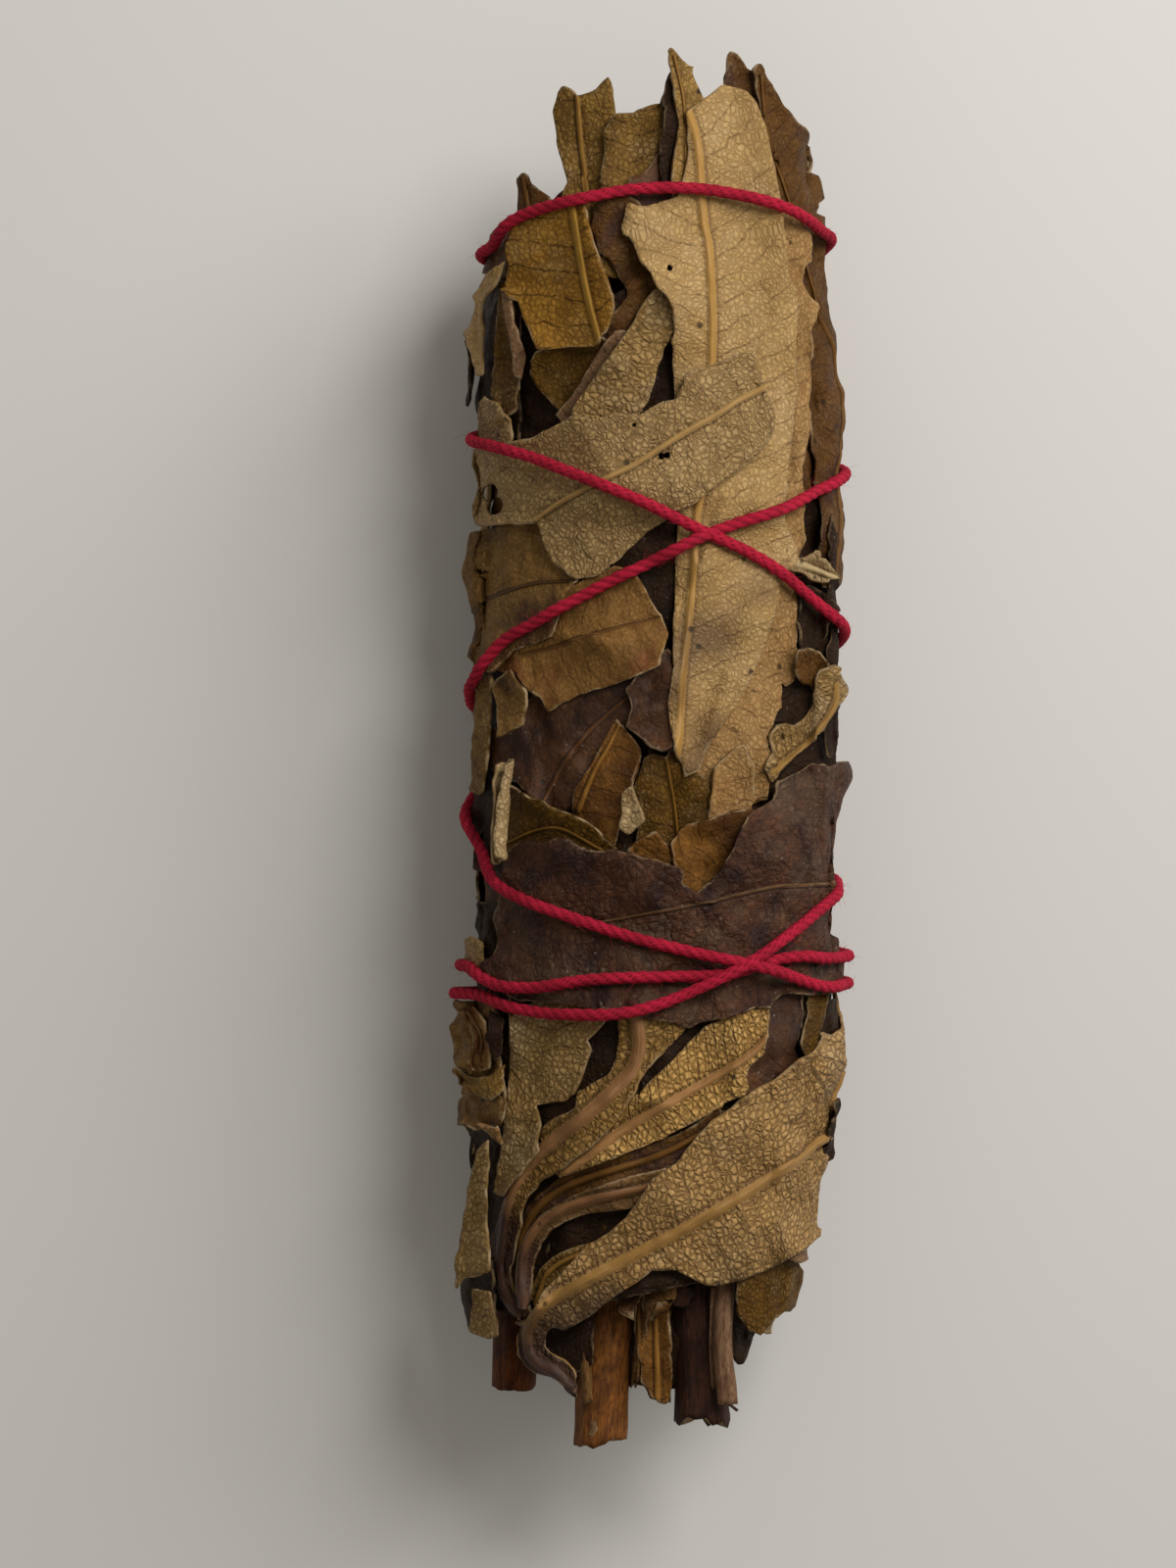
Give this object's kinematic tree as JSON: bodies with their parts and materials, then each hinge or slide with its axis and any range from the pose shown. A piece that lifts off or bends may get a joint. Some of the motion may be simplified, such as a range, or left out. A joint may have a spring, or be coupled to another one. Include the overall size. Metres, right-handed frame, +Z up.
{
  "type": "smudge stick",
  "caption": "Bundle of dried brown leaves and cut stems bound with crossed turns of red cotton string, for slow burning as incense.",
  "frame": {"origin": "on the surface that the bundle lies on, under the middle of its bounding box", "axes": "+Y along the bundle towards its leaf tips, the cut stems at -Y; +X to the right of someone who looks down on it with the tips away from them; +Z up"},
  "size_m": [0.0334, 0.1141, 0.0281],
  "materials": {
    "bark": "satin",
    "brown": "matte",
    "plum": "matte",
    "rust": "matte",
    "string": "matte",
    "tan": "matte"
  },
  "bodies": {
    "root": {"stem_left": "bark", "stem_middle": "bark", "stem_right": "bark", "stem_under_left": "bark", "stem_under_right": "bark", "stem_thin": "bark", "inner_leaf_top": "rust", "inner_leaf_right": "rust", "inner_leaf_under": "rust", "inner_leaf_left": "rust", "left_tip_leaf": "brown", "deep_left_leaf": "brown", "notched_tip_leaf": "brown", "rounded_tip_leaf": "tan", "pointed_tip_leaf": "tan", "left_side_leaf_a": "brown", "left_side_leaf_b": "tan", "left_side_leaf_c": "brown", "right_side_leaf_a": "plum", "right_side_leaf_b": "brown", "right_side_leaf_c": "tan", "under_leaf_a": "rust", "under_leaf_b": "tan", "under_leaf_c": "brown", "under_leaf_d": "plum", "deep_middle_leaf": "rust", "plum_leaf": "plum", "olive_leaf": "rust", "amber_fold_leaf": "rust", "curled_leaf": "tan", "right_dark_leaf": "brown", "right_tan_leaf": "tan", "caramel_leaf": "rust", "dark_left_leaf": "plum", "pocket_leaf": "brown", "rust_leaf": "rust", "fold_leaf": "tan", "long_leaf": "tan", "lobe_leaf": "tan", "mid_leaf": "tan", "tan_fragment": "tan", "tucked_left_leaf": "rust", "tucked_right_leaf": "rust", "dark_rib_leaf": "plum", "ribbed_leaf_b": "tan", "ribbed_leaf_a": "tan", "pink_rib_leaf": "rust", "rough_tan_leaf": "tan", "crumpled_leaf": "brown", "end_leaf": "brown", "big_leaf": "tan", "wrap_leaf": "plum", "speckled_roll": "tan", "rolled_leaf": "tan", "rest_leaf_tips": "tan", "rest_leaf_middle": "brown", "rest_leaf_stems": "rust", "string": "string"}
  },
  "joints": []
}
